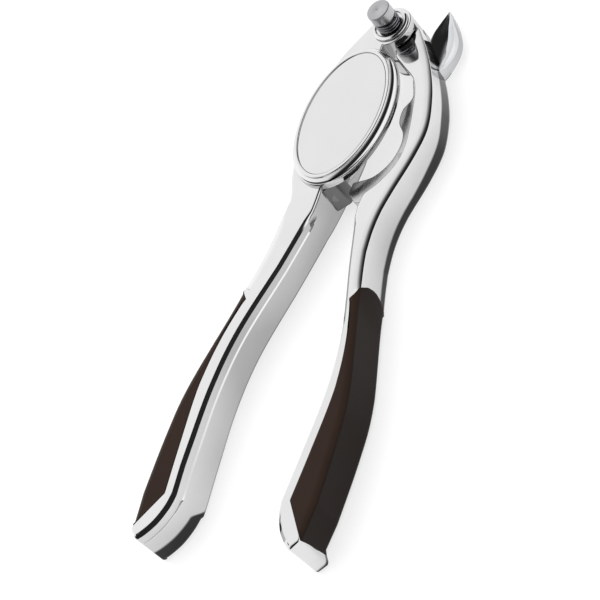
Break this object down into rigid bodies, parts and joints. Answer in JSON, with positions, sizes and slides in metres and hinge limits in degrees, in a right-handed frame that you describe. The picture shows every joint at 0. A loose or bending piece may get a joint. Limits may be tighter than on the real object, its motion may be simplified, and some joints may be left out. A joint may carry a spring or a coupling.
{
  "type": "nutcracker",
  "caption": "Hinged two-arm nutcracker with curved gripped handles, an oval drum jaw facing a curved toothed jaw, a rear claw and a sprung push knob on the pivot.",
  "frame": {"origin": "on the pivot axis, in the plane of the handles' back faces that the tool rests on", "axes": "+Z along the pivot axis towards the knob and the drum's face; the handles run along -Y, the claw points to +Y; +X towards the toothed jaw and its arm"},
  "size_m": [0.0606, 0.1866, 0.0246],
  "materials": {
    "chrome": "mirror-bright nickel-chrome plate on a zinc casting",
    "face_plate": "flat lapped and chromed plate",
    "turned_steel": "face turned with a fine spiral, sides polished",
    "satin_steel": "plain machined steel",
    "spring_steel": "drawn spring wire and strip",
    "jaw_steel": "ground steel, lightly chromed",
    "claw_steel": "ground and polished steel",
    "stop_plug": "pressed-in plug, satin",
    "grip": "satin moulded dark brown grip"
  },
  "bodies": {
    "left": {"left_arm": "chrome", "left_grip": "grip", "left_grip_pegs": "satin_steel", "pivot_bush": "satin_steel", "seat_ring": "chrome", "knob_spring": "spring_steel", "drum_body": "chrome", "drum_bezel": "chrome", "drum_plate": "face_plate", "drum_screws": "satin_steel", "stop_block": "jaw_steel", "stop_plug": "stop_plug"},
    "right": {"right_arm": "chrome", "right_grip": "grip", "right_grip_pegs": "satin_steel", "thrust_washer": "satin_steel", "rear_cap": "chrome", "jaw_insert": "jaw_steel", "jaw_rivets": "satin_steel", "claw": "claw_steel", "claw_screws": "satin_steel"},
    "plunger": {"pivot_pin": "satin_steel", "push_knob": "turned_steel", "retaining_clip": "spring_steel"}
  },
  "joints": [
    {"name": "arm_hinge", "type": "hinge", "parent": "left", "child": "right", "pos_m": [0, 0, 0], "axis": [0, 0, 1], "range_deg": [-4, 35]},
    {"name": "knob_press", "type": "slide", "parent": "left", "child": "plunger", "axis": [0, 0, -1], "range_m": [0, 0.002], "stiffness_N_per_m": 1500, "deforming": ["knob_spring"]}
  ]
}
